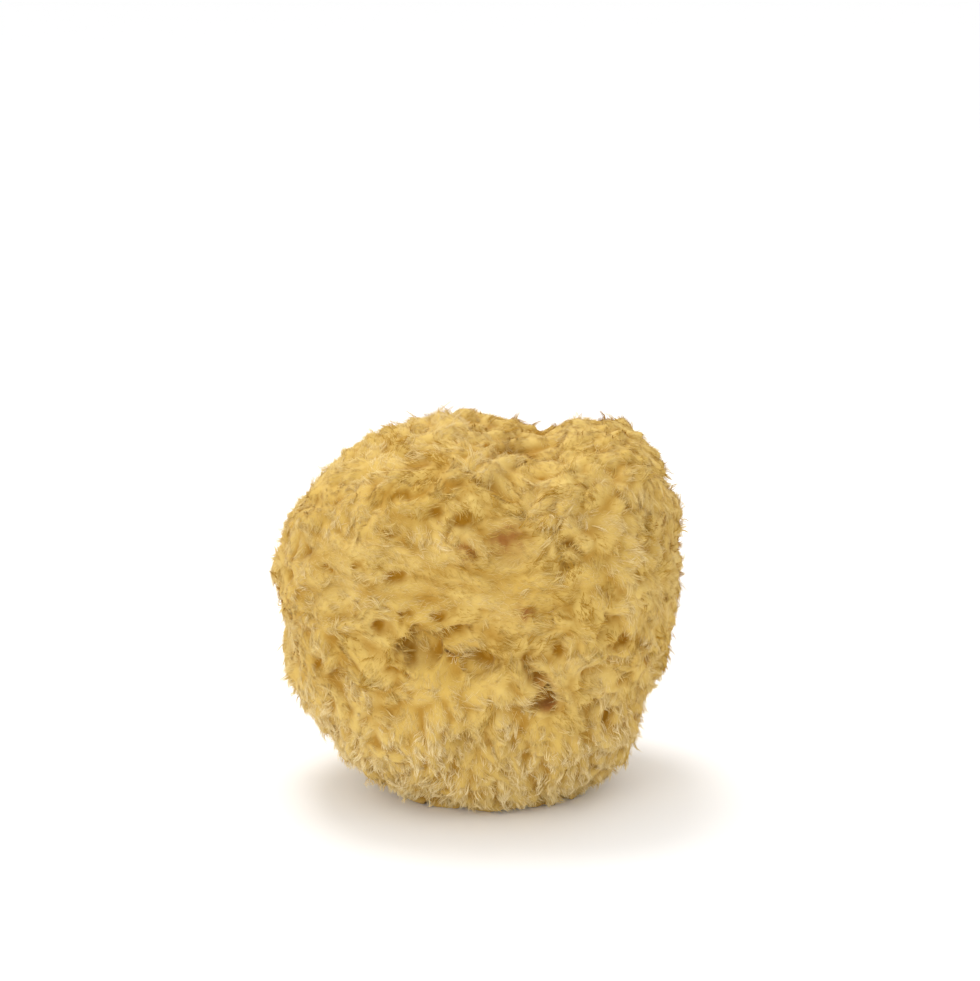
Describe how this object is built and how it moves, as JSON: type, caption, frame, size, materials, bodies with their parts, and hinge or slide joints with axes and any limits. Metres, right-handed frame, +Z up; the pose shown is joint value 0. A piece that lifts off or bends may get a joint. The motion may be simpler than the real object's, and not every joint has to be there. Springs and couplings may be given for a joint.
{
  "type": "sea sponge",
  "caption": "Rounded natural bath sponge with a soft matted golden fibre pile, small oscules, and a flat cut base to stand on.",
  "frame": {"origin": "middle of the box, on the flat cut base that the sponge stands on", "axes": "+X across the sponge to the right seen from the front, +Y from the front to the back, +Z up from the cut base"},
  "size_m": [0.0844, 0.07, 0.078],
  "materials": {
    "sponge_fibre": "matte"
  },
  "bodies": {
    "root": {"sea_sponge": "sponge_fibre"}
  },
  "joints": []
}
